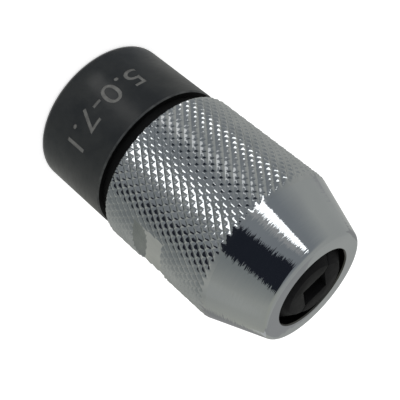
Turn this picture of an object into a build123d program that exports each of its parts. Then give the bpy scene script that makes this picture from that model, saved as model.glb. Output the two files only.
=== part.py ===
from build123d import *

import os
from math import ceil, cos, pi, radians, sin, sqrt, tan

# Two-jaw tap holder, in millimetres. The axis is +Z with the nose up, and the rear face of the
# collar stands on Z = 0. A knurled sleeve is screwed along the spindle. Its inner cone closes two
# V-notched jaws on the square of a tap, and two springs open them again. It is drawn with the
# jaws closed.

# Collar and neck
collar_diameter = 28.8
collar_length = 16.2
collar_rear_chamfer = 0.7
collar_front_break = 0.25
neck_step = 1.2
neck_length = 1.7

# Socket for the arbor, and the passage for the tap's shank
arbor_bore_diameter = 16.0
arbor_bore_depth = 24.0
arbor_mouth_chamfer = 0.6
shank_passage_diameter = 9.8
shank_passage_chamfer = 0.5

# Set screw in the collar, turned away from the spanner flats
set_screw_diameter = 5.0
set_screw_height = 8.0
set_screw_azimuth = 90.0
set_screw_recess = 0.7
set_screw_tip_setback = 0.7
set_screw_clearance = 0.03
set_screw_point_diameter = 3.4
set_screw_key = 2.5
set_screw_key_depth = 2.4

# Sleeve
sleeve_diameter = 30.0
sleeve_neck_clearance = 0.75
knurled_length = 23.55
cone_length = 11.0
nose_diameter = 21.7
nose_bore_diameter = 15.2
nose_round = 1.0
nose_lip_chamfer = 0.25
rear_edge_chamfer = 0.4
rear_bore_clearance = 0.65
rear_bore_chamfer = 0.3

# Diamond knurl of the sleeve: flat pyramids between grooves that lean from the axis both ways
knurl_spacing = 2.3
knurl_depth = 0.38
knurl_line_angle = 41.5
knurl_overrun = 1.0

# Spanner flats on the sleeve, 27 mm across
flats_depth = 1.5
flats_width = 7.0
flats_setback = 7.3
flats_azimuth = -5.5

# Screw between spindle and sleeve, plain at its pitch diameter. The wall runs from there to the
# bottom of the knurl's grooves, so the screw follows the sleeve.
thread_wall = 2.52
thread_pitch = 1.5
thread_clearance = 0.05
undercut_depth = 0.6
spindle_thread_turns = 7.6
sleeve_thread_turns = 4.9
thread_runout = 0.6

# Slotted head of the spindle, which passes through the screw of the sleeve
head_step = 0.6
head_clearance = 0.08
head_setback = 6.7
head_cone_clearance = 0.35
slot_width = 12.9
slot_azimuth = -45.0

# Jaws. The square is measured across flats, closed and fully open.
closed_square = 4.95
open_square = 7.1
jaw_length = 17.55
jaw_proud = 0.35
jaw_face_diameter = 9.8
jaw_bevel_height = 1.95
jaw_axis_offset = 1.1
jaw_cone_clearance = 0.08
jaw_bore_clearance = 0.15
jaw_side_clearance = 0.05
jaw_floor_clearance = 0.05
jaw_parting_gap = 0.1
jaw_corner_chamfer = 0.45

# Jaw springs, coiled from square wire
spring_diameter = 1.9
spring_wire = 0.3
spring_turns = 5.0
spring_hole_clearance = 0.1
spring_hole_depth = 3.2
spring_end_clearance = 0.05
spring_foot_distance = 5.5

# Stop ring of square wire in the groove of the sleeve
ring_wire = 1.2
ring_setback = 2.1
ring_groove_clearance = 0.15
ring_undercut_clearance = 0.45
ring_split_angle = 12.0
ring_shoulder_clearance = 0.15

# Radii of the turned surfaces
collar_radius = collar_diameter / 2
neck_radius = collar_radius - neck_step
arbor_bore_radius = arbor_bore_diameter / 2
shank_passage_radius = shank_passage_diameter / 2
sleeve_radius = sleeve_diameter / 2
nose_radius = nose_diameter / 2
nose_bore_radius = nose_bore_diameter / 2
thread_radius = sleeve_radius - (knurl_depth + thread_wall)
undercut_radius = thread_radius - undercut_depth
relief_radius = thread_radius + thread_runout
rear_bore_radius = thread_radius + rear_bore_clearance
head_radius = thread_radius - head_step
chamber_radius = head_radius + head_clearance
ring_inner_radius = undercut_radius + ring_undercut_clearance
ring_groove_radius = ring_inner_radius + ring_wire + ring_groove_clearance

# Travel. Both cones of the sleeve have the same slope, in millimetres of radius for each
# millimetre of length, so the sleeve's advance follows from how far a jaw moves.
cone_slope = (sleeve_radius - nose_radius) / cone_length
jaw_travel = (open_square - closed_square) / sqrt(2)
sleeve_travel = jaw_travel / cone_slope

# Heights along the axis
neck_front = collar_length + neck_length
sleeve_rear = neck_front + sleeve_neck_clearance
cone_start = sleeve_rear + knurled_length
nose_face = cone_start + cone_length
jaw_tip = nose_face + jaw_proud
jaw_foot = jaw_tip - jaw_length
slot_floor = jaw_foot - jaw_floor_clearance
spring_height = jaw_foot + spring_foot_distance
head_front = nose_face - head_setback
ring_height = sleeve_rear + ring_setback
thread_start = ring_height + ring_wire / 2 + sleeve_travel + ring_shoulder_clearance
thread_end = thread_start + spindle_thread_turns * thread_pitch
sleeve_thread_start = thread_start + thread_runout / 2
sleeve_thread_end = sleeve_thread_start + sleeve_thread_turns * thread_pitch
relief_end = thread_end + thread_runout


def inner_cone_radius(height):
    """Radius of the sleeve's inner cone at a height."""
    return nose_bore_radius + (nose_face - height) * cone_slope


def inner_cone_height(radius):
    """Height at which the sleeve's inner cone has a radius."""
    return nose_face - (radius - nose_bore_radius) / cone_slope


# Body: collar, neck, threaded spindle and slotted head, turned from one bar
head_cone_start = inner_cone_height(head_radius + head_cone_clearance)
head_front_radius = inner_cone_radius(head_front) - head_cone_clearance

with BuildPart() as body:
    with BuildSketch(Plane.XZ):
        with BuildLine():
            Polyline(
                (0, 0),
                (collar_radius, 0),
                (collar_radius, collar_length),
                (neck_radius, collar_length),
                (neck_radius, neck_front),
                (undercut_radius, neck_front),
                (undercut_radius, thread_start),
                (thread_radius, thread_start),
                (thread_radius, thread_end),
                (head_radius, thread_end),
                (head_radius, head_cone_start),
                (head_front_radius, head_front),
                (0, head_front),
                close=True,
            )
        make_face()
    revolve(axis=Axis.Z)
    chamfer(body.edges().group_by(Axis.Z)[0], collar_rear_chamfer)
    collar_front_edge = (
        body.edges().filter_by_position(Axis.Z, collar_length, collar_length).sort_by(SortBy.RADIUS)[-1]
    )
    chamfer(collar_front_edge, collar_front_break)

    # Arbor bore with its mouth, then the shank passage up to the slot
    with BuildSketch(Plane.XY):
        Circle(arbor_bore_radius)
    extrude(amount=arbor_bore_depth, mode=Mode.SUBTRACT)
    arbor_mouth = body.edges().filter_by_position(Axis.Z, 0, 0).sort_by(SortBy.RADIUS)[0]
    chamfer(arbor_mouth, arbor_mouth_chamfer)
    with BuildSketch(Plane.XY.offset(arbor_bore_depth)):
        Circle(shank_passage_radius)
    extrude(amount=head_front - arbor_bore_depth, mode=Mode.SUBTRACT)
    passage_mouth = (
        body.edges().filter_by_position(Axis.Z, arbor_bore_depth, arbor_bore_depth).sort_by(SortBy.RADIUS)[0]
    )
    chamfer(passage_mouth, shank_passage_chamfer)

    # Slot that guides both jaws
    with BuildSketch(Plane.XY.offset(slot_floor)):
        Rectangle(4 * head_radius, slot_width, rotation=slot_azimuth)
    extrude(amount=head_front - slot_floor, mode=Mode.SUBTRACT)

    # Tapped hole for the set screw
    set_screw_plane = Plane(
        origin=(0, 0, set_screw_height),
        x_dir=(0, 0, 1),
        z_dir=(cos(radians(set_screw_azimuth)), sin(radians(set_screw_azimuth)), 0),
    )
    with BuildSketch(set_screw_plane):
        Circle(set_screw_diameter / 2)
    extrude(amount=collar_radius, mode=Mode.SUBTRACT)

# Set screw with a hexagon socket and a flat chamfered point
set_screw_top = collar_radius - set_screw_recess
set_screw_length = set_screw_top - set_screw_tip_setback - arbor_bore_radius
set_screw_radius = set_screw_diameter / 2 - set_screw_clearance
set_screw_point_height = set_screw_radius - set_screw_point_diameter / 2

with BuildPart() as set_screw:
    with BuildSketch(set_screw_plane.offset(set_screw_top - set_screw_length)):
        Circle(set_screw_radius)
    extrude(amount=set_screw_length)
    outwards = Axis(set_screw_plane.origin, set_screw_plane.z_dir)
    screw_rims = set_screw.edges().filter_by(GeomType.CIRCLE).sort_by(outwards)
    chamfer(screw_rims[0], set_screw_point_height)
    with BuildSketch(set_screw_plane.offset(set_screw_top)):
        RegularPolygon(set_screw_key / 2, 6, major_radius=False)
    extrude(amount=-set_screw_key_depth, mode=Mode.SUBTRACT)

# Knurl. Crests and crossings of the grooves take turns round the sleeve and along it, so both lie on
# a grid of half diamonds. Their number is a multiple of four, for the same width every way.
knurl_diamonds = 4 * round(pi * sleeve_diameter / (4 * knurl_spacing))
knurl_pitch = pi * sleeve_diameter / knurl_diamonds / tan(radians(knurl_line_angle))
knurl_start = sleeve_rear - knurl_overrun
knurl_end = cone_start + knurl_depth / cone_slope + knurl_overrun
knurl_levels = 2 * ceil((knurl_end - knurl_start) / knurl_pitch)
blank_radius = sleeve_radius + 2 * knurl_depth


def knurl_corner(step, level):
    """Crest or groove crossing, counted in half diamonds round the sleeve and along it."""
    radius = sleeve_radius if (step + level) % 2 else sleeve_radius - knurl_depth
    corner = Vector(radius, 0, knurl_start + level * knurl_pitch / 2)
    return corner.rotate(Axis.Z, 180 * step / knurl_diamonds)


def knurl_facets(step, level):
    """The two facets in one cell of the grid. They meet in the groove between its two crossings."""
    corners = [knurl_corner(step + i, level + j) for i, j in ((0, 0), (1, 0), (1, 1), (0, 1))]
    if (step + level) % 2:
        corners = corners[1:] + corners[:1]
    return [Face(Wire.make_polygon(corners[:3])), Face(Wire.make_polygon(corners[2:] + corners[:1]))]


def knurl_end_face(level):
    """Flat end of the knurled bar, with a corner at each crest and crossing."""
    return Face(Wire.make_polygon([knurl_corner(step, level) for step in range(2 * knurl_diamonds)]))


knurl_faces = [knurl_end_face(0), knurl_end_face(knurl_levels)]
for level in range(knurl_levels):
    for step in range(2 * knurl_diamonds):
        knurl_faces += knurl_facets(step, level)

# The ring of metal that the knurling tool takes off the blank
with BuildPart() as knurl_waste:
    with BuildSketch(Plane.XY.offset(knurl_start)):
        Circle(blank_radius + knurl_depth)
    extrude(amount=knurl_levels * knurl_pitch / 2)
    add(Solid(Shell(knurl_faces)), mode=Mode.SUBTRACT)

# Sleeve: screw, relief, chamber and inner cone inside; knurled barrel and nose cone outside
ring_groove_half_width = ring_wire / 2 + ring_groove_clearance

with BuildPart() as sleeve:
    with BuildSketch(Plane.XZ):
        with BuildLine():
            Polyline(
                (rear_bore_radius, sleeve_rear),
                (sleeve_radius - rear_edge_chamfer, sleeve_rear),
                (blank_radius, sleeve_rear + blank_radius - sleeve_radius + rear_edge_chamfer),
                (blank_radius, cone_start - (blank_radius - sleeve_radius) / cone_slope),
                (nose_radius, nose_face),
                (nose_bore_radius, nose_face),
                (chamber_radius, inner_cone_height(chamber_radius)),
                (chamber_radius, relief_end),
                (relief_radius, relief_end),
                (relief_radius, sleeve_thread_end),
                (thread_radius + thread_clearance, sleeve_thread_end),
                (thread_radius + thread_clearance, sleeve_thread_start),
                (rear_bore_radius, sleeve_thread_start),
                (rear_bore_radius, ring_height + ring_groove_half_width),
                (ring_groove_radius, ring_height + ring_groove_half_width),
                (ring_groove_radius, ring_height - ring_groove_half_width),
                (rear_bore_radius, ring_height - ring_groove_half_width),
                close=True,
            )
        make_face()
    revolve(axis=Axis.Z)
    nose_edges = sleeve.edges().filter_by_position(Axis.Z, nose_face, nose_face).sort_by(SortBy.RADIUS)
    fillet(nose_edges[-1], nose_round)
    chamfer(nose_edges[0], nose_lip_chamfer)
    rear_edges = sleeve.edges().filter_by_position(Axis.Z, sleeve_rear, sleeve_rear).sort_by(SortBy.RADIUS)
    chamfer(rear_edges[0], rear_bore_chamfer)
    add(knurl_waste.part, mode=Mode.SUBTRACT)

    # Two opposite spanner flats across the knurling
    flats_plane = Plane.XY.offset(sleeve_rear + flats_setback).rotated((0, 0, flats_azimuth))
    with BuildSketch(flats_plane):
        with GridLocations(2 * (sleeve_diameter - flats_depth), 0, 2, 1):
            Rectangle(sleeve_diameter, sleeve_diameter)
    extrude(amount=flats_width, mode=Mode.SUBTRACT)

# Stop ring: a split wire ring that keeps the sleeve on the spindle
with BuildPart() as stop_ring:
    with BuildSketch(Plane.XZ):
        with Locations((ring_inner_radius, ring_height)):
            Rectangle(ring_wire, ring_wire, align=(Align.MIN, Align.CENTER))
    revolve(axis=Axis.Z, revolution_arc=360 - ring_split_angle)

# Jaws and springs
jaw_width = slot_width - 2 * jaw_side_clearance
jaw_reach = chamber_radius - jaw_bore_clearance - jaw_travel
jaw_back_radius = jaw_reach - jaw_axis_offset
jaw_cone_start = inner_cone_height(jaw_reach + jaw_cone_clearance)
jaw_bevel_start = jaw_tip - jaw_bevel_height
jaw_shoulder_radius = inner_cone_radius(jaw_bevel_start) - jaw_cone_clearance - jaw_axis_offset
spring_offset = (closed_square / sqrt(2) + jaw_width / 2) / 2
spring_length = 2 * (spring_hole_depth - spring_end_clearance) + jaw_parting_gap


def slide_direction(azimuth):
    """Horizontal unit vector along which a jaw opens."""
    return Vector(cos(radians(azimuth)), sin(radians(azimuth)), 0)


def make_jaw(azimuth):
    """One jaw: a cone-backed block with half of the square notch and two blind spring holes."""
    slide = slide_direction(azimuth)
    across = slide.cross(Vector(0, 0, 1))
    jaw_axis = slide * jaw_axis_offset
    with BuildPart() as jaw:
        with BuildSketch(Plane(origin=jaw_axis, x_dir=slide, z_dir=across)):
            with BuildLine():
                Polyline(
                    (0, jaw_foot),
                    (jaw_back_radius, jaw_foot),
                    (jaw_back_radius, jaw_cone_start),
                    (jaw_shoulder_radius, jaw_bevel_start),
                    (jaw_face_diameter / 2, jaw_tip),
                    (0, jaw_tip),
                    close=True,
                )
            make_face()
        revolve(axis=Axis(jaw_axis, (0, 0, 1)))

        # Flat sides that run in the slot, and the face that meets the other jaw
        plan = Plane(origin=(0, 0, jaw_foot), x_dir=slide, z_dir=(0, 0, 1))
        with BuildSketch(plan) as outline:
            with Locations((jaw_parting_gap / 2, 0)):
                Rectangle(jaw_reach, jaw_width, align=(Align.MIN, Align.CENTER))
            chamfer(outline.vertices().group_by(Axis.X)[0], jaw_corner_chamfer)
        extrude(amount=jaw_length, mode=Mode.INTERSECT)
        with BuildSketch(plan):
            Rectangle(closed_square, closed_square, rotation=45)
        extrude(amount=jaw_length, mode=Mode.SUBTRACT)

        # Spring holes, one each side of the notch
        parting = slide * (jaw_parting_gap / 2) + Vector(0, 0, spring_height)
        with BuildSketch(Plane(origin=parting, x_dir=across, z_dir=slide)):
            with GridLocations(2 * spring_offset, 0, 2, 1):
                Circle(spring_diameter / 2 + spring_hole_clearance)
        extrude(amount=spring_hole_depth, mode=Mode.SUBTRACT)
    return jaw


def make_spring(side):
    """One compression spring, coiled along the jaws' slide direction, on side -1 or +1."""
    slide = slide_direction(slot_azimuth)
    across = slide.cross(Vector(0, 0, 1))
    coil_length = spring_length - spring_wire
    start = across * (side * spring_offset) + Vector(0, 0, spring_height) - slide * (coil_length / 2)
    with BuildPart() as spring:
        with BuildLine() as coil:
            Helix(
                pitch=coil_length / spring_turns,
                height=coil_length,
                radius=(spring_diameter - spring_wire) / 2,
                center=start,
                direction=slide,
            )
        with BuildSketch(coil.line ^ 0):
            Rectangle(spring_wire, spring_wire)
        sweep(path=coil.line, is_frenet=True)
    return spring


jaw_1 = make_jaw(slot_azimuth)
jaw_2 = make_jaw(slot_azimuth + 180)
jaw_spring_1 = make_spring(-1)
jaw_spring_2 = make_spring(1)

# Files, one for each piece
pieces = {
    "body": body,
    "set_screw": set_screw,
    "sleeve": sleeve,
    "stop_ring": stop_ring,
    "jaw_1": jaw_1,
    "jaw_2": jaw_2,
    "jaw_spring_1": jaw_spring_1,
    "jaw_spring_2": jaw_spring_2,
}
os.makedirs("parts", exist_ok=True)
for name, piece in pieces.items():
    piece.part.label = name
    export_step(piece.part, f"parts/{name}.step")

print(f"jaw travel {jaw_travel:.4f} mm, sleeve travel {sleeve_travel:.4f} mm")
print(f"sleeve turns {sleeve_travel / thread_pitch:.4f}, overall height {jaw_tip:.3f} mm")
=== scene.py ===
"""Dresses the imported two-jaw tap holder: its finishes, knurling, marks, springs and a plain white studio.

Sizes in the dataclasses are in millimetres, as on a workshop drawing, and become metres where a mesh is
made. The holder stands on its rear face, with its axis along +Z and its nose up. Azimuths are in degrees
from +X.
"""

from __future__ import annotations

import logging
import math
from collections.abc import Iterator
from contextlib import contextmanager
from dataclasses import dataclass
from enum import Enum

import bmesh
import bpy
import numpy as np
from mathutils import Matrix, Vector

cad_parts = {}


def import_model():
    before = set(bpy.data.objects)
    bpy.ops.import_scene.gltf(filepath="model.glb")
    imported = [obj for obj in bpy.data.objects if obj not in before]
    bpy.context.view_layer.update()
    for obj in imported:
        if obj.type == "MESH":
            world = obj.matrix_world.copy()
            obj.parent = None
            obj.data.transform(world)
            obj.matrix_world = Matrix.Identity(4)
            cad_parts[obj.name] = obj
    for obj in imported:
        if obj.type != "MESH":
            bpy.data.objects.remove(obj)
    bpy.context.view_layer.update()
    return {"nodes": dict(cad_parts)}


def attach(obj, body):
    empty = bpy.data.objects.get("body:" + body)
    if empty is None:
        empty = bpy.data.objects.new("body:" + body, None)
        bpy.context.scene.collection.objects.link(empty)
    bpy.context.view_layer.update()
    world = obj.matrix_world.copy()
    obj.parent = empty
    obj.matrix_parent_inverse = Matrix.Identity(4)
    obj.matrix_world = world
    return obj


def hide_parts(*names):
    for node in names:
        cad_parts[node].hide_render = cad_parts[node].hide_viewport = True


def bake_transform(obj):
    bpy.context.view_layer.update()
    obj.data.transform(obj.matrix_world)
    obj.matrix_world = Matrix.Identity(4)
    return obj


LOG = logging.getLogger("tap_holder")
MM = 0.001

# Corners nearer than this are one corner, in metres
WELD = 1e-6

# Slack for telling the radii and heights of corners apart, in millimetres
HAIR = 0.01

# Cosine above which a face counts as square to a direction
SQUARE_TO = 0.999

# Chords of the small roundings on turned edges
ROUND_CHORDS = 6

# How much longer a cutter is than what it passes through
OVERSIZE = 4

WHITE = "#ffffff"

Outline = list[tuple[float, float]]
Colour = tuple[float, float, float, float]
Stops = tuple[tuple[float, str], ...]


class Body(Enum):
    """The bodies of the frame that pieces ride on."""

    SPINDLE = "spindle"
    RING = "ring"
    SLEEVE = "sleeve"
    JAW_1 = "jaw_1"
    JAW_2 = "jaw_2"


class Slot(Enum):
    """The record's material slots."""

    BLACKENED = "blackened_steel"
    JAW = "jaw_steel"
    CHROME = "chrome_plate"
    SPRING = "spring_steel"
    SCREW = "screw_steel"


# Colours and nodes


def linear(code: str) -> Colour:
    """Turns an sRGB hex colour to linear light.

    Args:
        code: The colour as "#rrggbb".

    Returns:
        Red, green, blue and alpha in linear light.
    """
    parts = [int(code[i : i + 2], 16) / 255 for i in (1, 3, 5)]
    # The curve of the sRGB standard
    levels = [p / 12.92 if p <= 0.04045 else ((p + 0.055) / 1.055) ** 2.4 for p in parts]
    return (levels[0], levels[1], levels[2], 1.0)


def add_node(
    tree: bpy.types.NodeTree, kind: str, inputs: dict | None = None, **settings: object
) -> bpy.types.Node:
    """Adds a node with its settings and links.

    Args:
        tree: The node tree to add to.
        kind: The node's type name.
        inputs: Values or output sockets by input name or number.
        **settings: Properties of the node.

    Returns:
        The new node.
    """
    node = tree.nodes.new(kind)
    for name, value in settings.items():
        setattr(node, name, value)
    for name, value in (inputs or {}).items():
        if isinstance(value, bpy.types.NodeSocket):
            tree.links.new(value, node.inputs[name])
        else:
            node.inputs[name].default_value = value
    return node


def set_ramp(node: bpy.types.Node, stops: list[tuple[float, Colour]]) -> None:
    """Sets the stops of a colour ramp.

    Args:
        node: The colour ramp node.
        stops: Position and colour of each stop, at least two.
    """
    elements = node.color_ramp.elements
    while len(elements) < len(stops):
        elements.new(1.0)
    for element, (position, colour) in zip(elements, stops):
        element.position = position
        element.color = colour


def empty_material(name: str) -> bpy.types.Material:
    """Makes a node material with no nodes in it.

    Args:
        name: The material's name.

    Returns:
        The material.
    """
    material = bpy.data.materials.new(name)
    material.use_nodes = True
    material.node_tree.nodes.clear()
    return material


# Finishes


# Scale of the noise for tool marks: drawn out across the axis and fine along it
MARK_STRETCH = (0.08, 0.08, 1.0)

# Grain of the noise for the tool marks and for the blotches
MARK_GRAIN = {"Detail": 2.0, "Roughness": 0.6}
BLOTCH_GRAIN = {"Detail": 3.0, "Roughness": 0.55}

# Parts of the noise's range that the marks' gloss and the blotches' colours run over
MARK_RANGE = (0.3, 0.7)
BLOTCH_RANGE = (0.35, 0.65)


@dataclass(frozen=True)
class MetalFinish:
    """A metal surface with fine turning marks round the holder's axis and slight blotches.

    The marks are noise squeezed along the axis, so that they run round the piece as tool marks do. Their
    spacing and depth and the blotches' size are in millimetres. Real marks are finer: these are drawn as
    coarse as they need to be to show.
    """

    name: str
    colour: str
    shade: str
    metallic: float
    roughness: float
    roughness_spread: float
    mark_spacing: float
    mark_depth: float
    blotch: float
    specular: float = 0.5

    def material(self) -> bpy.types.Material:
        """Builds the finish.

        Returns:
            The material.
        """
        material = empty_material(self.name)
        tree = material.node_tree
        place = add_node(tree, "ShaderNodeTexCoord").outputs["Object"]
        blotches = add_node(
            tree,
            "ShaderNodeTexNoise",
            {"Vector": place, "Scale": 1 / (self.blotch * MM), **BLOTCH_GRAIN},
        )
        tint = add_node(tree, "ShaderNodeValToRGB", {"Fac": blotches.outputs["Fac"]})
        set_ramp(tint, [(BLOTCH_RANGE[0], linear(self.shade)), (BLOTCH_RANGE[1], linear(self.colour))])
        squeezed = add_node(tree, "ShaderNodeMapping", {"Vector": place, "Scale": MARK_STRETCH})
        marks = add_node(
            tree,
            "ShaderNodeTexNoise",
            {"Vector": squeezed.outputs["Vector"], "Scale": 1 / (self.mark_spacing * MM), **MARK_GRAIN},
        )
        gloss = add_node(
            tree,
            "ShaderNodeMapRange",
            {
                "Value": marks.outputs["Fac"],
                "From Min": MARK_RANGE[0],
                "From Max": MARK_RANGE[1],
                "To Min": self.roughness - self.roughness_spread,
                "To Max": self.roughness + self.roughness_spread,
            },
        )
        relief = add_node(
            tree,
            "ShaderNodeBump",
            {"Height": marks.outputs["Fac"], "Distance": self.mark_depth * MM, "Strength": 1.0},
        )
        shader = add_node(
            tree,
            "ShaderNodeBsdfPrincipled",
            {
                "Base Color": tint.outputs["Color"],
                "Metallic": self.metallic,
                "Roughness": gloss.outputs["Result"],
                "Specular IOR Level": self.specular,
                "Normal": relief.outputs["Normal"],
            },
        )
        add_node(tree, "ShaderNodeOutputMaterial", {"Surface": shader.outputs["BSDF"]})
        return material


# Bright chromium over polished steel: a neutral mirror, broken only by the faint rings that the
# polishing left round the cone, which give its reflections combed edges.
POLISHED_CHROME = MetalFinish(
    name="chromium_plate_polished",
    colour="#bfc3c5",
    shade="#b9bdc0",
    metallic=1.0,
    roughness=0.05,
    roughness_spread=0.015,
    mark_spacing=0.4,
    mark_depth=0.034,
    blotch=9.0,
)

# Chromium over the rolled knurl and the milled flats: as bright, but softer, because the plate was not
# polished there.
KNURLED_CHROME = MetalFinish(
    name="chromium_plate_on_knurl",
    colour="#c3c6c7",
    shade="#b4b8ba",
    metallic=1.0,
    roughness=0.085,
    roughness_spread=0.03,
    mark_spacing=0.3,
    mark_depth=0.0008,
    blotch=5.0,
)

# Bored and ground steel inside the sleeve, oiled and not plated, with visible turning marks; its grey is
# darker than bare steel, as painted shade inside the bores and the nose.
BORED_STEEL_WITH_PAINTED_SHADE = MetalFinish(
    name="bored_steel_oiled_with_painted_shade",
    colour="#63635f",
    shade="#4f4f4c",
    metallic=1.0,
    roughness=0.36,
    roughness_spread=0.08,
    mark_spacing=0.25,
    mark_depth=0.004,
    blotch=6.0,
)

# Black oxide on turned steel: an almost black film with a satin sheen and cloudy patches of oil.
BLACK_OXIDE = MetalFinish(
    name="black_oxide_on_turned_steel",
    colour="#2a2c2c",
    shade="#181c1f",
    metallic=0.0,
    roughness=0.36,
    roughness_spread=0.05,
    mark_spacing=0.18,
    mark_depth=0.0016,
    blotch=5.0,
)

# The same oxide in the turned neck, painted near black and duller as painted shade for the gap between
# collar and sleeve, where hardly any light returns.
NECK_PAINTED_SHADE = MetalFinish(
    name="black_oxide_with_painted_neck_shade",
    colour="#0a0b0c",
    shade="#060707",
    metallic=0.0,
    roughness=0.6,
    roughness_spread=0.05,
    mark_spacing=0.2,
    mark_depth=0.002,
    blotch=2.0,
    specular=0.2,
)

# The collar's front edge painted lighter grey and half metallic: a painted highlight, the thin light line
# along its chamfer.
EDGE_PAINTED_HIGHLIGHT = MetalFinish(
    name="black_oxide_painted_edge_highlight",
    colour="#5a5c5d",
    shade="#3f4142",
    metallic=0.5,
    roughness=0.35,
    roughness_spread=0.08,
    mark_spacing=0.3,
    mark_depth=0.002,
    blotch=1.5,
)

# Hardened tool steel, blackened and oiled: a little browner and glossier than the body.
OILED_JAW_STEEL = MetalFinish(
    name="blackened_tool_steel_oiled",
    colour="#131315",
    shade="#0d0d0f",
    metallic=0.0,
    roughness=0.58,
    roughness_spread=0.06,
    mark_spacing=0.2,
    mark_depth=0.002,
    blotch=2.5,
    specular=0.1,
)

# Light matt grey floor of a laser mark, where the black film is burnt off.
LASER_MARK = MetalFinish(
    name="laser_mark_in_black_oxide",
    colour="#7c7c79",
    shade="#686866",
    metallic=0.3,
    roughness=0.6,
    roughness_spread=0.1,
    mark_spacing=0.15,
    mark_depth=0.004,
    blotch=1.2,
)

# Hard drawn spring wire, bright with a trace of oil.
DRAWN_WIRE = MetalFinish(
    name="drawn_spring_wire",
    colour="#b9b9b6",
    shade="#a3a29e",
    metallic=1.0,
    roughness=0.22,
    roughness_spread=0.05,
    mark_spacing=0.2,
    mark_depth=0.001,
    blotch=1.5,
)

# Alloy steel screw with a thin black oxide, glossier at its ground end.
SCREW_BLACK = MetalFinish(
    name="black_oxide_on_alloy_screw",
    colour="#242525",
    shade="#191a1a",
    metallic=0.0,
    roughness=0.32,
    roughness_spread=0.06,
    mark_spacing=0.2,
    mark_depth=0.001,
    blotch=1.5,
)


# Modelling tools


def heading(azimuth: float) -> Vector:
    """Level direction at an azimuth in degrees."""
    angle = math.radians(azimuth)
    return Vector((math.cos(angle), math.sin(angle), 0))


def laid_outwards(azimuth: float) -> Matrix:
    """Turn that lays an upright piece level, with its top outwards at an azimuth in degrees."""
    return Matrix.Rotation(math.radians(azimuth), 4, "Z") @ Matrix.Rotation(math.pi / 2, 4, "Y")


def deselect() -> None:
    """Leaves edit mode and deselects everything."""
    if bpy.context.object is not None and bpy.context.object.mode != "OBJECT":
        bpy.ops.object.mode_set(mode="OBJECT")
    bpy.ops.object.select_all(action="DESELECT")


def take(piece: bpy.types.Object) -> None:
    """Selects one object alone and makes it active.

    Args:
        piece: The object.
    """
    deselect()
    piece.select_set(True)
    bpy.context.view_layer.objects.active = piece


@contextmanager
def editing(piece: bpy.types.Object) -> Iterator[None]:
    """Edits one object's mesh with everything in it selected.

    Args:
        piece: The object.

    Yields:
        Nothing, while edit mode lasts.
    """
    take(piece)
    bpy.ops.object.mode_set(mode="EDIT")
    bpy.ops.mesh.select_all(action="SELECT")
    yield
    bpy.ops.object.mode_set(mode="OBJECT")


def settle(piece: bpy.types.Object) -> None:
    """Moves an object's place into its mesh, so that the object sits at the origin."""
    take(piece)
    bpy.ops.object.transform_apply(location=True, rotation=True, scale=True)


def apply(piece: bpy.types.Object, kind: str, **settings: object) -> None:
    """Adds one modifier to a piece and applies it.

    Args:
        piece: The object.
        kind: The modifier's type.
        **settings: Properties of the modifier.
    """
    modifier = piece.modifiers.new(kind.lower(), kind)
    for name, value in settings.items():
        setattr(modifier, name, value)
    take(piece)
    bpy.ops.object.modifier_apply(modifier=modifier.name)


def turned(name: str, outline: Outline, steps: int, sweep: float = 360.0) -> bpy.types.Object:
    """Spins a closed outline round the holder's axis, as on a lathe.

    Args:
        name: The object's name.
        outline: Radius and height of each corner, in millimetres.
        steps: Steps round the axis.
        sweep: Angle of the spin in degrees. Less than a full turn gets flat ends.

    Returns:
        A closed mesh object.
    """
    deselect()
    bpy.ops.mesh.primitive_circle_add(vertices=len(outline), radius=outline[0][0] * MM)
    piece = bpy.context.object
    piece.name = name
    for vertex, (radius, height) in zip(piece.data.vertices, outline):
        vertex.co = (radius * MM, 0.0, height * MM)
    with editing(piece):
        bpy.ops.mesh.spin(steps=steps, angle=math.radians(sweep), center=(0, 0, 0), axis=(0, 0, 1))
        bpy.ops.mesh.select_all(action="SELECT")
        bpy.ops.mesh.remove_doubles(threshold=WELD)
        if sweep < 360:
            bpy.ops.mesh.fill_holes(sides=0)
            bpy.ops.mesh.select_all(action="SELECT")
        bpy.ops.mesh.normals_make_consistent(inside=False)
    return piece


def arc(centre: tuple[float, float], radius: float, start: float, end: float, steps: int) -> Outline:
    """Points of an arc in an outline.

    Args:
        centre: Radius and height of the arc's centre.
        radius: The arc's own radius.
        start: First angle in degrees, 0 pointing outwards and 90 up.
        end: Last angle in degrees.
        steps: Number of chords.

    Returns:
        The points, ends included.
    """
    angles = [math.radians(start + (end - start) * i / steps) for i in range(steps + 1)]
    return [(centre[0] + radius * math.cos(a), centre[1] + radius * math.sin(a)) for a in angles]


def block(
    size: tuple[float, float, float], centre: tuple[float, float, float], azimuth: float
) -> bpy.types.Object:
    """A cutter: a block turned about the holder's axis.

    Args:
        size: Depth, width and height before the turn, in millimetres.
        centre: The block's centre before the turn, in millimetres.
        azimuth: The turn in degrees.

    Returns:
        The cutter object.
    """
    deselect()
    bpy.ops.mesh.primitive_cube_add(size=1)
    cutter = bpy.context.object
    turn = Matrix.Rotation(math.radians(azimuth), 4, "Z")
    stretch = Matrix.Diagonal((*(s * MM for s in size), 1))
    cutter.matrix_world = turn @ Matrix.Translation(Vector(centre) * MM) @ stretch
    settle(cutter)
    return cutter


def cut(piece: bpy.types.Object, cutter: bpy.types.Object) -> None:
    """Cuts one solid out of another. The new faces keep the cutter's material.

    Args:
        piece: The solid that is cut.
        cutter: The solid that is taken away, and then removed.
    """
    apply(piece, "BOOLEAN", operation="DIFFERENCE", solver="EXACT", object=cutter, material_mode="TRANSFER")
    bpy.data.objects.remove(cutter)


def smooth(piece: bpy.types.Object, angle: float) -> None:
    """Shades a piece smooth, with edges sharper than an angle in degrees left crisp."""
    take(piece)
    bpy.ops.object.shade_smooth_by_angle(angle=math.radians(angle))


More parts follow.
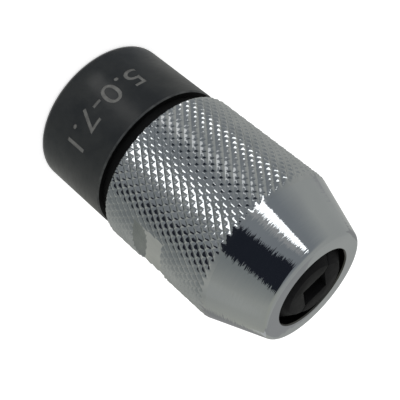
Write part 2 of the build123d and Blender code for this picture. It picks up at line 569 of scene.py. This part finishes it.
def paint(piece: bpy.types.Object, finishes: list[bpy.types.Material]) -> None:
    """Gives a piece its material slots in order.

    Args:
        piece: The object.
        finishes: The material of each slot.
    """
    piece.data.materials.clear()
    for finish in finishes:
        piece.data.materials.append(finish)


def report(piece: bpy.types.Object) -> None:
    """Logs a finished piece with its triangle count."""
    triangles = sum(len(p.vertices) - 2 for p in piece.data.polygons)
    LOG.info("%s: %d triangles", piece.name, triangles)


# Sub-assemblies


@dataclass
class Spindle:
    """The body, turned from one bar: collar, neck, plain-turned screw and slotted head."""

    collar_radius: float = 14.4
    collar_length: float = 16.2
    rear_round: float = 0.75
    front_break: float = 0.25
    neck_radius: float = 13.2
    neck_length: float = 1.7
    undercut_radius: float = 11.5
    thread_radius: float = 12.1
    thread_start: float = 25.530
    thread_end: float = 36.930
    head_radius: float = 11.5
    cone_height: float = 41.932
    front_radius: float = 9.778
    front_height: float = 46.5
    passage_radius: float = 4.9
    bore_radius: float = 8.0
    bore_depth: float = 24.0
    bore_chamfer: float = 0.6
    passage_chamfer: float = 0.5
    slot_width: float = 12.9
    slot_floor: float = 35.95
    slot_azimuth: float = -45.0
    screw_radius: float = 2.5
    screw_azimuth: float = 90.0
    screw_height: float = 8.0
    steps: int = 240
    hole_steps: int = 64
    crisp_angle: float = 30.0

    # Numbers on the collar: the squares that the jaws take, in millimetres. They are cut into slices,
    # so that they can follow the round.
    mark_text: str = "5.0-7.1"
    mark_azimuth: float = -77.0
    mark_length: float = 17.9
    mark_height: float = 4.25
    mark_middle: float = 8.65
    mark_depth: float = 0.05
    mark_slice: float = 0.45
    mark_weld: float = 1e-4

    def outline(self) -> Outline:
        """Outline of the bar with its bore and passage.

        Returns:
            Radius and height of each corner.
        """
        front = self.collar_length
        rear_centre = (self.collar_radius - self.rear_round, self.rear_round)
        return [
            (self.bore_radius + self.bore_chamfer, 0.0),
            *arc(rear_centre, self.rear_round, -90, 0, ROUND_CHORDS),
            (self.collar_radius, front - self.front_break),
            (self.collar_radius - self.front_break, front),
            (self.neck_radius, front),
            (self.neck_radius, front + self.neck_length),
            (self.undercut_radius, front + self.neck_length),
            (self.undercut_radius, self.thread_start),
            (self.thread_radius, self.thread_start),
            (self.thread_radius, self.thread_end),
            (self.head_radius, self.thread_end),
            (self.head_radius, self.cone_height),
            (self.front_radius, self.front_height),
            (self.passage_radius, self.front_height),
            (self.passage_radius, self.bore_depth + self.passage_chamfer),
            (self.passage_radius + self.passage_chamfer, self.bore_depth),
            (self.bore_radius, self.bore_depth),
            (self.bore_radius, self.bore_chamfer),
        ]

    def mark_cutter(self, finish: bpy.types.Material) -> bpy.types.Object:
        """Shapes the numbers as a thin solid wrapped on the collar.

        Args:
            finish: The material of the mark's floor.

        Returns:
            The cutter object.
        """
        deselect()
        bpy.ops.object.text_add()
        bpy.context.object.data.body = self.mark_text
        bpy.ops.object.convert(target="MESH")
        cutter = bpy.context.object
        places = np.array([v.co for v in cutter.data.vertices])
        low, high = places.min(axis=0), places.max(axis=0)
        with editing(cutter):
            bpy.ops.transform.translate(value=tuple(-(low + high) / 2))
            bpy.ops.transform.resize(
                value=(self.mark_length / (high[0] - low[0]), self.mark_height / (high[1] - low[1]), 1),
                center_override=(0, 0, 0),
            )
            slices = int(self.mark_length / self.mark_slice)
            for i in range(1, slices):
                bpy.ops.mesh.select_all(action="SELECT")
                place = self.mark_length * (i / slices - 0.5)
                bpy.ops.mesh.bisect(plane_co=(place, 0, 0), plane_no=(1, 0, 0))
            bpy.ops.mesh.select_all(action="SELECT")
            bpy.ops.mesh.remove_doubles(threshold=self.mark_weld)
            bpy.ops.mesh.extrude_region_move(TRANSFORM_OT_translate={"value": (0, 0, 1)})
            bpy.ops.mesh.select_all(action="SELECT")
            bpy.ops.mesh.normals_make_consistent(inside=False)
        for vertex in cutter.data.vertices:
            along, up, out = vertex.co
            radius = self.collar_radius - self.mark_depth + out
            angle = math.radians(self.mark_azimuth) + along / self.collar_radius
            place = (radius * math.cos(angle), radius * math.sin(angle), self.mark_middle + up)
            vertex.co = Vector(place) * MM
        paint(cutter, [finish])
        return cutter

    def assign_finishes(self, piece: bpy.types.Object) -> None:
        """Gives the near black of the painted shade to the neck and to what the sleeve covers, and the
        collar's front edge its own lighter grey as a painted highlight.

        Args:
            piece: The turned bar.
        """
        edge_radius = self.collar_radius - self.front_break
        edge_height = self.collar_length - self.front_break
        for face in piece.data.polygons:
            height = face.center.z / MM
            radius = math.hypot(face.center.x, face.center.y) / MM
            in_painted_shade = self.collar_length < height + HAIR < self.thread_end
            # Painted shade: the neck and what the sleeve covers take the near black finish
            if in_painted_shade and self.bore_radius < radius < edge_radius:
                face.material_index = 1
            # Painted highlight: the collar's front chamfer takes the lighter grey
            elif height > edge_height and radius > edge_radius:
                face.material_index = 2

    def slot_cutter(self) -> bpy.types.Object:
        """Makes the block that mills the jaws' slot across the head.

        Returns:
            The cutter object.
        """
        height = self.front_height - self.slot_floor
        return block(
            (OVERSIZE * self.head_radius, self.slot_width, 2 * height),
            (0, 0, self.slot_floor + height),
            self.slot_azimuth,
        )

    def screw_drill(self) -> bpy.types.Object:
        """Makes the drill for the set screw's hole, laid from the bore to well outside the collar.

        Returns:
            The cutter object.
        """
        deselect()
        bpy.ops.mesh.primitive_cylinder_add(
            vertices=self.hole_steps, radius=self.screw_radius * MM, depth=self.collar_radius * MM
        )
        drill = bpy.context.object
        turn = laid_outwards(self.screw_azimuth)
        place = turn @ Vector((0, 0, self.collar_radius)) + Vector((0, 0, self.screw_height))
        drill.matrix_world = Matrix.Translation(place * MM) @ turn
        settle(drill)
        return drill

    def make_body(self) -> None:
        """Turns, slots, drills and marks the body."""
        piece = turned("spindle_body", self.outline(), self.steps)
        # Slots: the oxide, the neck's painted shade and the front edge's painted highlight
        paint(piece, [finish.material() for finish in (BLACK_OXIDE, NECK_PAINTED_SHADE, EDGE_PAINTED_HIGHLIGHT)])
        self.assign_finishes(piece)
        cut(piece, self.slot_cutter())
        cut(piece, self.screw_drill())
        cut(piece, self.mark_cutter(LASER_MARK.material()))
        smooth(piece, self.crisp_angle)
        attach(piece, Body.SPINDLE.value)
        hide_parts("body")
        report(piece)


@dataclass
class Sleeve:
    """The chrome sleeve: a knurled barrel with two spanner flats, and a polished nose cone."""

    rear: float = 18.65
    barrel_radius: float = 15.0
    cone_start: float = 42.2
    nose_face: float = 53.2
    nose_radius: float = 10.85
    nose_round: float = 1.0
    nose_bore: float = 7.6
    lip_chamfer: float = 0.25
    rear_chamfer: float = 0.4
    rear_bore: float = 12.75
    bore_chamfer: float = 0.3
    groove_radius: float = 13.3
    groove_rear: float = 20.0
    groove_front: float = 21.5
    thread_start: float = 25.83
    thread_end: float = 33.18
    thread_bore: float = 12.15
    relief_radius: float = 12.7
    relief_end: float = 37.53
    chamber_radius: float = 11.58
    flat_depth: float = 1.5
    flat_rear: float = 25.95
    flat_width: float = 7.0
    flat_azimuth: float = -5.5
    cone_rows: int = 3
    crisp_angle: float = 32.0

    # Knurl. Deep grooves lean one way and shallower ones cross them, with a land left between these.
    # A power above 1 rounds a flank towards its crest, and the blend's power rounds where grooves meet.
    # The spares, as multiples of the depth, tell the knurl's corners and faces from those below it.
    diamonds: int = 56
    diamond_length: float = 1.9
    knurl_depth: float = 0.34
    flank_power: float = 1.2
    cross_depth: float = 0.25
    cross_power: float = 1.5
    cross_land: float = 0.24
    blend_power: float = 7.0
    cells: int = 10
    runout_spare: float = 1.2
    facet_spare: float = 2.0
    groove_spare: float = 1.5

    @property
    def slope(self) -> float:
        """Fall of the cone's radius for each millimetre towards the nose."""
        return (self.barrel_radius - self.nose_radius) / (self.nose_face - self.cone_start)

    def knurl_front(self) -> float:
        """Height at which the deepest groove runs out in the cone, with a row to spare."""
        runout = self.runout_spare * self.knurl_depth / self.slope
        return self.cone_start + runout + self.diamond_length / self.cells

    def outline(self) -> Outline:
        """Outline of the sleeve, with one row of corners for each row of the knurl's cells.

        Returns:
            Radius and height of each corner.
        """
        tilt = math.degrees(math.atan(self.slope))
        tangent = self.nose_round / math.tan(math.radians(90 + tilt) / 2)
        round_centre = (self.nose_radius - tangent, self.nose_face - self.nose_round)
        front = self.knurl_front()
        rows = round((front - self.rear) / (self.diamond_length / self.cells))
        barrel = [(self.barrel_radius, self.rear + (front - self.rear) * i / rows) for i in range(rows + 1)]
        nose = arc(round_centre, self.nose_round, tilt, 90, ROUND_CHORDS)
        cone = []
        for i in range(1, self.cone_rows):
            height = front + (nose[0][1] - front) * i / self.cone_rows
            cone.append((self.nose_radius + (self.nose_face - height) * self.slope, height))
        lip = self.lip_chamfer
        lean = math.radians(tilt)
        return [
            (self.rear_bore + self.bore_chamfer, self.rear),
            *barrel,
            *cone,
            *nose,
            (self.nose_bore + lip, self.nose_face),
            (self.nose_bore + lip * math.sin(lean), self.nose_face - lip * math.cos(lean)),
            (self.chamber_radius, self.nose_face - (self.chamber_radius - self.nose_bore) / self.slope),
            (self.chamber_radius, self.relief_end),
            (self.relief_radius, self.relief_end),
            (self.relief_radius, self.thread_end),
            (self.thread_bore, self.thread_end),
            (self.thread_bore, self.thread_start),
            (self.rear_bore, self.thread_start),
            (self.rear_bore, self.groove_front),
            (self.groove_radius, self.groove_front),
            (self.groove_radius, self.groove_rear),
            (self.rear_bore, self.groove_rear),
            (self.rear_bore, self.rear + self.bore_chamfer),
        ]

    def roll_knurl(self, piece: bpy.types.Object) -> None:
        """Presses the diamonds into the barrel, and lets them run out in the chamfer and the cone.

        Args:
            piece: The turned sleeve.
        """
        mesh = piece.data
        places = np.empty(len(mesh.vertices) * 3)
        mesh.vertices.foreach_get("co", places)
        places = places.reshape(-1, 3) / MM
        radius = np.hypot(places[:, 0], places[:, 1])
        height = places[:, 2]
        rolled = (radius > self.barrel_radius - HAIR) & (height < self.knurl_front() + HAIR)
        angle = np.arctan2(places[:, 1], places[:, 0])
        around = angle / math.tau * self.diamonds
        along = (height - self.rear) / self.diamond_length
        left = np.abs((around + along) % 1 - 0.5) * 2
        right = np.abs((around - along) % 1 - 0.5) * 2
        left = np.clip((left - self.cross_land) / (1 - self.cross_land), 0, 1)
        deep = (self.knurl_depth * right**self.flank_power) ** self.blend_power
        shallow = (self.cross_depth * left**self.cross_power) ** self.blend_power
        surface = self.barrel_radius - (deep + shallow) ** (1 / self.blend_power)
        chamfer = self.barrel_radius - self.rear_chamfer + (height - self.rear)
        cone = self.nose_radius + (self.nose_face - height) * self.slope
        surface = np.minimum(np.minimum(surface, chamfer), cone)
        scale = np.where(rolled, surface / radius, 1.0)
        places[:, :2] *= scale[:, None]
        mesh.vertices.foreach_set("co", (places * MM).ravel())
        self.split_along_grooves(piece)

    def split_along_grooves(self, piece: bpy.types.Object) -> None:
        """Halves each cell of the knurl along its deeper diagonal, so that the grooves run straight.

        Args:
            piece: The rolled sleeve.
        """
        cells = bmesh.new()
        cells.from_mesh(piece.data)
        limit = (self.barrel_radius - self.facet_spare * self.knurl_depth) * MM
        front = self.knurl_front() * MM
        for face in list(cells.faces):
            corners = [v.co for v in face.verts]
            if len(corners) != 4 or max(c.z for c in corners) > front + WELD:
                continue
            depth = [math.hypot(c.x, c.y) for c in corners]
            if min(depth) < limit:
                continue
            first = 0 if depth[0] + depth[2] < depth[1] + depth[3] else 1
            bmesh.utils.face_split(face, face.verts[first], face.verts[first + 2])
        cells.to_mesh(piece.data)
        cells.free()

    def make_sleeve(self) -> None:
        """Turns, rolls and mills the sleeve."""
        piece = turned("knurled_sleeve", self.outline(), self.diamonds * self.cells)
        self.roll_knurl(piece)
        across = self.barrel_radius - self.flat_depth
        depth = OVERSIZE * self.flat_depth
        for turn in (0, 180):
            cut(
                piece,
                block(
                    (depth, 2 * self.barrel_radius, self.flat_width),
                    (across + depth / 2, 0, self.flat_rear + self.flat_width / 2),
                    self.flat_azimuth + turn,
                ),
            )
        paint(piece, [POLISHED_CHROME.material(), KNURLED_CHROME.material(), BORED_STEEL_WITH_PAINTED_SHADE.material()])
        smooth(piece, self.crisp_angle)
        self.assign_finishes(piece)
        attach(piece, Body.SLEEVE.value)
        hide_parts("sleeve")
        report(piece)

    def assign_finishes(self, piece: bpy.types.Object) -> None:
        """Gives polish to the cone, the softer plate to knurl and flats, and to the bores bare steel
        darkened as painted shade.

        Args:
            piece: The milled sleeve.
        """
        flat_limit = (self.barrel_radius - self.flat_depth) * MM - WELD
        wall_start = self.flat_rear * MM - WELD
        wall_end = (self.flat_rear + self.flat_width) * MM + WELD
        bore_limit = (self.rear_bore + self.bore_chamfer) * MM
        groove_limit = (self.barrel_radius - self.groove_spare * self.knurl_depth) * MM
        knurl_limit = self.knurl_front() * MM
        axis = heading(self.flat_azimuth)
        for face in piece.data.polygons:
            centre = face.center
            normal = face.normal
            radius = math.hypot(centre.x, centre.y)
            on_wall = abs(normal.z) > SQUARE_TO and wall_start < centre.z < wall_end
            on_flat = abs(centre.dot(axis)) > flat_limit and (abs(normal.dot(axis)) > SQUARE_TO or on_wall)
            # Rounding alone may turn a level face's normal inwards by less than this
            inward = normal.x * centre.x + normal.y * centre.y < -0.1 * WELD
            bored = radius < bore_limit and centre.z < self.cone_start * MM
            beyond_knurl = centre.z > knurl_limit or radius < groove_limit
            face.use_smooth = not on_flat
            # Painted shade: the bores and inner faces take the darkened bare steel
            if inward or bored:
                face.material_index = 2
            elif beyond_knurl and not on_flat:
                face.material_index = 0
            else:
                face.material_index = 1


@dataclass
class Jaws:
    """The two V-notched jaws, with their edges broken as a file leaves them."""

    edge_break: float = 0.1
    break_segments: int = 2
    sharp_angle: float = 25.0
    level_angle: float = 0.5
    crisp_angle: float = 30.0

    def make_jaws(self, nodes: dict[str, bpy.types.Object]) -> None:
        """Copies each jaw of the frame, breaks its edges and dresses it.

        Args:
            nodes: The frame's nodes by name.
        """
        finish = OILED_JAW_STEEL.material()
        for body in (Body.JAW_1, Body.JAW_2):
            piece = bpy.data.objects.new(f"notched_{body.value}", nodes[body.value].data.copy())
            bpy.context.scene.collection.objects.link(piece)
            with editing(piece):
                bpy.ops.mesh.remove_doubles(threshold=WELD)
                bpy.ops.mesh.dissolve_limited(angle_limit=math.radians(self.level_angle))
            apply(
                piece,
                "BEVEL",
                width=self.edge_break * MM,
                segments=self.break_segments,
                limit_method="ANGLE",
                angle_limit=math.radians(self.sharp_angle),
                use_clamp_overlap=True,
            )
            paint(piece, [finish])
            smooth(piece, self.crisp_angle)
            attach(piece, body.value)
            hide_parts(body.value)
            report(piece)


@dataclass
class StopRing:
    """The split ring of square wire that keeps the sleeve on the spindle."""

    inner_radius: float = 11.95
    wire: float = 1.2
    height: float = 20.75
    split: float = 12.0
    corner: float = 0.15
    corner_chords: int = 2
    steps: int = 116
    crisp_angle: float = 40.0

    def make_ring(self) -> None:
        """Bends the ring with rounded corners."""
        half = self.wire / 2 - self.corner
        middle = self.inner_radius + self.wire / 2
        outline = []
        for quarter, (side, up) in enumerate([(1, 1), (-1, 1), (-1, -1), (1, -1)]):
            centre = (middle + side * half, self.height + up * half)
            outline += arc(centre, self.corner, 90 * quarter, 90 * quarter + 90, self.corner_chords)
        piece = turned("split_stop_ring", outline, self.steps, 360 - self.split)
        paint(piece, [DRAWN_WIRE.material()])
        smooth(piece, self.crisp_angle)
        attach(piece, Body.RING.value)
        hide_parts("stop_ring")
        report(piece)


@dataclass
class SetScrew:
    """The headless screw in the collar, with a hexagon socket and a flat point."""

    radius: float = 2.47
    top: float = 13.7
    length: float = 5.0
    point_radius: float = 1.7
    rim: float = 0.3
    key: float = 2.5
    key_depth: float = 2.4
    azimuth: float = 90.0
    height: float = 8.0
    steps: int = 48
    crisp_angle: float = 30.0

    def make_screw(self) -> None:
        """Turns the screw upright, sinks its socket and lays it in its hole."""
        tip = self.radius - self.point_radius
        outline = [
            (0.0, -self.length),
            (self.point_radius, -self.length),
            (self.radius, -self.length + tip),
            (self.radius, -self.rim),
            (self.radius - self.rim, 0.0),
            (0.0, 0.0),
        ]
        piece = turned("socket_set_screw", outline, self.steps)
        deselect()
        corner = self.key / 2 / math.cos(math.pi / 6)
        bpy.ops.mesh.primitive_cylinder_add(vertices=6, radius=corner * MM, depth=2 * self.key_depth * MM)
        cut(piece, bpy.context.object)
        raised = Matrix.Translation(Vector((0, 0, self.height)) * MM)
        outwards = Matrix.Translation(Vector((0, 0, self.top)) * MM)
        piece.matrix_world = raised @ laid_outwards(self.azimuth) @ outwards
        settle(piece)
        paint(piece, [SCREW_BLACK.material()])
        smooth(piece, self.crisp_angle)
        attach(piece, Body.SPINDLE.value)
        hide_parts("set_screw")
        report(piece)


@dataclass
class JawSprings:
    """The two compression springs. Each is two half coils, one towards each jaw."""

    diameter: float = 1.9
    wire: float = 0.3
    turns: float = 5.0
    length: float = 6.4
    offset: float = 4.95
    height: float = 41.5
    azimuth: float = -45.0
    points_per_turn: int = 24
    crisp_angle: float = 40.0

    def make_half(self, side: int, body: Body, finish: bpy.types.Material) -> None:
        """Coils the half of one spring that pushes one jaw.

        Args:
            side: -1 or 1, the side of the notch.
            body: The jaw that the half pushes.
            finish: The wire's material.
        """
        slide = heading(self.azimuth)
        across = slide.cross(Vector((0, 0, 1)))
        middle = across * (side * self.offset) + Vector((0, 0, self.height))
        way = 1 if body is Body.JAW_1 else -1
        reach = (self.length - self.wire) / 2
        radius = (self.diameter - self.wire) / 2
        count = round(self.turns / 2 * self.points_per_turn)
        curve = bpy.data.curves.new(f"jaw_spring_{1 if side < 0 else 2}_{body.value}", "CURVE")
        curve.dimensions = "3D"
        # A bevel of resolution 0 has four corners, which makes square wire
        curve.bevel_depth = self.wire / 2 * math.sqrt(2) * MM
        curve.bevel_resolution = 0
        curve.use_fill_caps = True
        spline = curve.splines.new("POLY")
        spline.points.add(count)
        for i, point in enumerate(spline.points):
            share = i / count
            angle = math.tau * self.turns / 2 * share * way
            place = middle + slide * (way * reach * share)
            place += (across * math.cos(angle) + Vector((0, 0, 1)) * math.sin(angle)) * radius
            point.co = (*(place * MM), 1.0)
        piece = bpy.data.objects.new(curve.name, curve)
        bpy.context.scene.collection.objects.link(piece)
        take(piece)
        bpy.ops.object.convert(target="MESH")
        piece = bpy.context.object
        paint(piece, [finish])
        smooth(piece, self.crisp_angle)
        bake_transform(piece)
        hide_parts(f"jaw_spring_{1 if side < 0 else 2}")
        report(piece)

    def make_springs(self) -> None:
        """Coils both springs."""
        finish = DRAWN_WIRE.material()
        for side in (-1, 1):
            for body in (Body.JAW_1, Body.JAW_2):
                self.make_half(side, body, finish)


# Studio


@dataclass(frozen=True)
class Edge:
    """A level edge of a card, from one azimuth to another at a distance from the holder's axis.

    Azimuths count from the camera's own, in degrees. Distance and height are in millimetres.
    """

    left: float
    right: float
    distance: float
    height: float

    def ends(self, toward: float) -> list[Vector]:
        """The edge's two ends in millimetres, left then right.

        Args:
            toward: The camera's azimuth.

        Returns:
            Two points.
        """
        angles = [math.radians(toward + azimuth) for azimuth in (self.left, self.right)]
        places = [(math.cos(a) * self.distance, math.sin(a) * self.distance) for a in angles]
        return [Vector((x, y, self.height)) for x, y in places]


@dataclass(frozen=True)
class Card:
    """A lit panel or a dark card between two level edges. Only bright and satin metal reflects it."""

    name: str
    level: float
    low: Edge
    high: Edge
    tint: str = WHITE

    def set_up(self, toward: float) -> None:
        """Stands or lays the card in its place.

        Args:
            toward: The camera's azimuth.
        """
        deselect()
        bpy.ops.mesh.primitive_plane_add(size=1)
        card = bpy.context.object
        card.name = self.name
        for vertex, place in zip(card.data.vertices, self.low.ends(toward) + self.high.ends(toward)):
            vertex.co = place * MM
        glow_evenly(card, self.level, self.tint)


def glow_evenly(piece: bpy.types.Object, level: float, tint: str) -> None:
    """Makes a studio piece glow evenly, seen by glossy rays alone.

    Args:
        piece: The card.
        level: Its brightness, where 1 is white.
        tint: Its sRGB colour as "#rrggbb".
    """
    material = empty_material(piece.name)
    tree = material.node_tree
    glow = add_node(tree, "ShaderNodeEmission", {"Color": linear(tint), "Strength": level})
    add_node(tree, "ShaderNodeOutputMaterial", {"Surface": glow.outputs["Emission"]})
    piece.data.materials.append(material)
    reflect_only(piece)


def reflect_only(piece: bpy.types.Object) -> None:
    """Lets only glossy rays see a studio piece, so that it neither shows nor lights the floor.

    Args:
        piece: The card or tent.
    """
    piece.visible_camera = False
    piece.visible_diffuse = False
    piece.visible_shadow = False


@dataclass
class Studio:
    """A white floor and sky, a grey tent with panels and cards for the reflections, and the camera."""

    # The camera's place and aim, fitted to the photograph. The aim is a point a little beside the axis.
    camera_azimuth: float = -73.2
    camera_distance: float = 140.25
    camera_height: float = 100.9
    aim_aside: float = 0.92
    aim_height: float = 27.33
    camera_roll: float = 130.05
    lens: float = 82.29
    sensor: float = 36.0
    nearest: float = 5.0
    farthest: float = 10000.0

    floor_size: float = 4000.0
    floor_colour: str = "#f0f0f0"
    floor_lift: float = 0.55
    sky_level: float = 0.85

    # The tent's cloth goes from its side colour to its front colour by the cosine from its front, and a
    # screen on one side filters it by the cosine from that side.
    tent_radius: float = 600.0
    tent_height: float = 620.0
    tent_hole: float = 14.6
    tent_lift: float = 0.4
    tent_skin: float = 1.0
    tent_steps: int = 96
    tent_level: float = 1.03
    tent_turn: float = -5.0
    cloth: Stops = ((0.1, "#b5b6b3"), (0.62, "#8f9397"))
    screen_turn: float = 90.0
    screen: Stops = (
        (0.28, "#fcfcfc"),
        (0.6, "#fcfcf4"),
        (0.95, "#f7f7f4"),
        (0.98, "#fffffd"),
    )

    # Each card's brightness, lower edge and upper edge
    cards: tuple[Card, ...] = (
        Card("window_panel", 2.6, Edge(-41, -13, 400, 5), Edge(-42, -38, 400, 230)),
        Card("window_wall", 0.42, Edge(-13, -4, 400, 5), Edge(-38, -27, 400, 230)),
        Card("dark_card", 0.05, Edge(13, 22, 400, 20), Edge(-16, 58, 400, 300), "#a3aecb"),
        Card("side_shade", 0.38, Edge(-136, -124, 200, 1), Edge(-136, -124, 360, 1)),
        Card("shaded_floor", 0.3, Edge(125, 165, 95, 1), Edge(125, 165, 320, 1)),
        Card("back_cloth", 0.37, Edge(140, 179, 590, 225), Edge(140, 183, 590, 340)),
        Card("back_window", 0.62, Edge(139, 153, 400, 5), Edge(140, 150, 400, 200)),
        Card("back_dark_card", 0.34, Edge(197, 220, 400, 5), Edge(190, 226, 400, 190)),
        Card("collar_floor_panel", 1.0, Edge(-24, -10, 17, 1), Edge(-24, -10, 44, 1)),
    )

    def make_camera(self) -> None:
        """Places the camera at the photograph's viewing angle, rolled as it was held."""
        outward = heading(self.camera_azimuth)
        aside = heading(self.camera_azimuth + 90)
        place = outward * self.camera_distance + Vector((0, 0, self.camera_height))
        aim = aside * self.aim_aside + Vector((0, 0, self.aim_height))
        level = (aim - place).to_track_quat("-Z", "Y").to_matrix().to_4x4()
        data = bpy.data.cameras.new("photo_camera")
        data.lens = self.lens
        data.sensor_width = self.sensor
        data.clip_start = self.nearest * MM
        data.clip_end = self.farthest * MM
        camera = bpy.data.objects.new("photo_camera", data)
        bpy.context.scene.collection.objects.link(camera)
        roll = Matrix.Rotation(math.radians(self.camera_roll), 4, "Z")
        camera.matrix_world = Matrix.Translation(place * MM) @ level @ roll
        bpy.context.scene.camera = camera

    def seen_directly(self, tree: bpy.types.NodeTree) -> bpy.types.NodeSocket:
        """Adds nodes that say whether a ray shows the background: a camera, glossy or transmission ray.

        Args:
            tree: The node tree to add to.

        Returns:
            A socket that is 1 for such a ray and 0 for others.
        """
        path = add_node(tree, "ShaderNodeLightPath")
        glossy = add_node(
            tree,
            "ShaderNodeMath",
            {0: path.outputs["Is Camera Ray"], 1: path.outputs["Is Glossy Ray"]},
            operation="MAXIMUM",
        )
        shown = add_node(
            tree,
            "ShaderNodeMath",
            {0: glossy.outputs["Value"], 1: path.outputs["Is Transmission Ray"]},
            operation="MAXIMUM",
        )
        return shown.outputs["Value"]

    def make_sky(self) -> None:
        """White sky: plain soft light for the holder, and full white where it shows."""
        world = bpy.data.worlds.new("white_sky")
        world.use_nodes = True
        tree = world.node_tree
        tree.nodes.clear()
        level = add_node(
            tree,
            "ShaderNodeMapRange",
            {"Value": self.seen_directly(tree), "To Min": self.sky_level, "To Max": 1.0},
        )
        sky = add_node(
            tree, "ShaderNodeBackground", {"Color": linear(WHITE), "Strength": level.outputs["Result"]}
        )
        add_node(tree, "ShaderNodeOutputWorld", {"Surface": sky.outputs["Background"]})
        world.cycles.sampling_method = "NONE"
        bpy.context.scene.world = world

    def make_floor(self) -> None:
        """White floor under the rear face, with a glow where it shows. It keeps the holder's soft shadow."""
        deselect()
        bpy.ops.mesh.primitive_plane_add(size=self.floor_size * MM)
        floor = bpy.context.object
        floor.name = "floor"
        material = empty_material("white_paper_sweep")
        tree = material.node_tree
        matt = add_node(tree, "ShaderNodeBsdfDiffuse", {"Color": linear(self.floor_colour)})
        lift = add_node(
            tree,
            "ShaderNodeMath",
            {0: self.seen_directly(tree), 1: self.floor_lift},
            operation="MULTIPLY",
        )
        glow = add_node(
            tree, "ShaderNodeEmission", {"Color": linear(WHITE), "Strength": lift.outputs["Value"]}
        )
        both = add_node(tree, "ShaderNodeAddShader", {0: matt.outputs["BSDF"], 1: glow.outputs["Emission"]})
        add_node(tree, "ShaderNodeOutputMaterial", {"Surface": both.outputs["Shader"]})
        floor.data.materials.append(material)

    def make_tent(self) -> None:
        """Grey tent with a ground sheet and a screen on one side, for the plated metal to reflect."""
        inner = self.tent_radius - self.tent_skin
        roof = self.tent_height - self.tent_skin
        sheet = self.tent_lift + self.tent_skin / 2
        outline = [
            (self.tent_hole, self.tent_lift),
            (self.tent_radius, self.tent_lift),
            (self.tent_radius, self.tent_height),
            (0, self.tent_height),
            (0, roof),
            (inner, roof),
            (inner, sheet),
            (self.tent_hole, sheet),
        ]
        tent = turned("grey_tent", outline, self.tent_steps)
        material = empty_material("grey_tent_cloth")
        tree = material.node_tree
        place = add_node(tree, "ShaderNodeTexCoord").outputs["Object"]
        way = add_node(tree, "ShaderNodeVectorMath", {0: place}, operation="NORMALIZE")
        shades = []
        for turn, stops in ((self.tent_turn, self.cloth), (self.screen_turn, self.screen)):
            cosine = add_node(
                tree,
                "ShaderNodeVectorMath",
                {0: way.outputs["Vector"], 1: tuple(heading(self.camera_azimuth + turn))},
                operation="DOT_PRODUCT",
            )
            shade = add_node(tree, "ShaderNodeValToRGB", {"Fac": cosine.outputs["Value"]})
            set_ramp(shade, [(position, linear(code)) for position, code in stops])
            shades.append(shade.outputs["Color"])
        filtered = add_node(
            tree,
            "ShaderNodeVectorMath",
            {0: shades[0], 1: shades[1]},
            operation="MULTIPLY",
        )
        glow = add_node(
            tree, "ShaderNodeEmission", {"Color": filtered.outputs["Vector"], "Strength": self.tent_level}
        )
        add_node(tree, "ShaderNodeOutputMaterial", {"Surface": glow.outputs["Emission"]})
        tent.data.materials.append(material)
        reflect_only(tent)

    def set_up(self) -> None:
        """Builds the whole studio."""
        self.make_camera()
        self.make_sky()
        self.make_floor()
        self.make_tent()
        for card in self.cards:
            card.set_up(self.camera_azimuth)
        bpy.context.scene.view_settings.view_transform = "Standard"


def main() -> None:
    """Loads the frame, dresses the holder piece by piece and sets up the studio."""
    logging.basicConfig(level=logging.INFO, format="%(name)s: %(message)s")
    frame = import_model()
    Studio().set_up()
    Spindle().make_body()
    SetScrew().make_screw()
    Sleeve().make_sleeve()
    StopRing().make_ring()
    Jaws().make_jaws(frame["nodes"])
    JawSprings().make_springs()


if __name__ == "__main__":
    main()
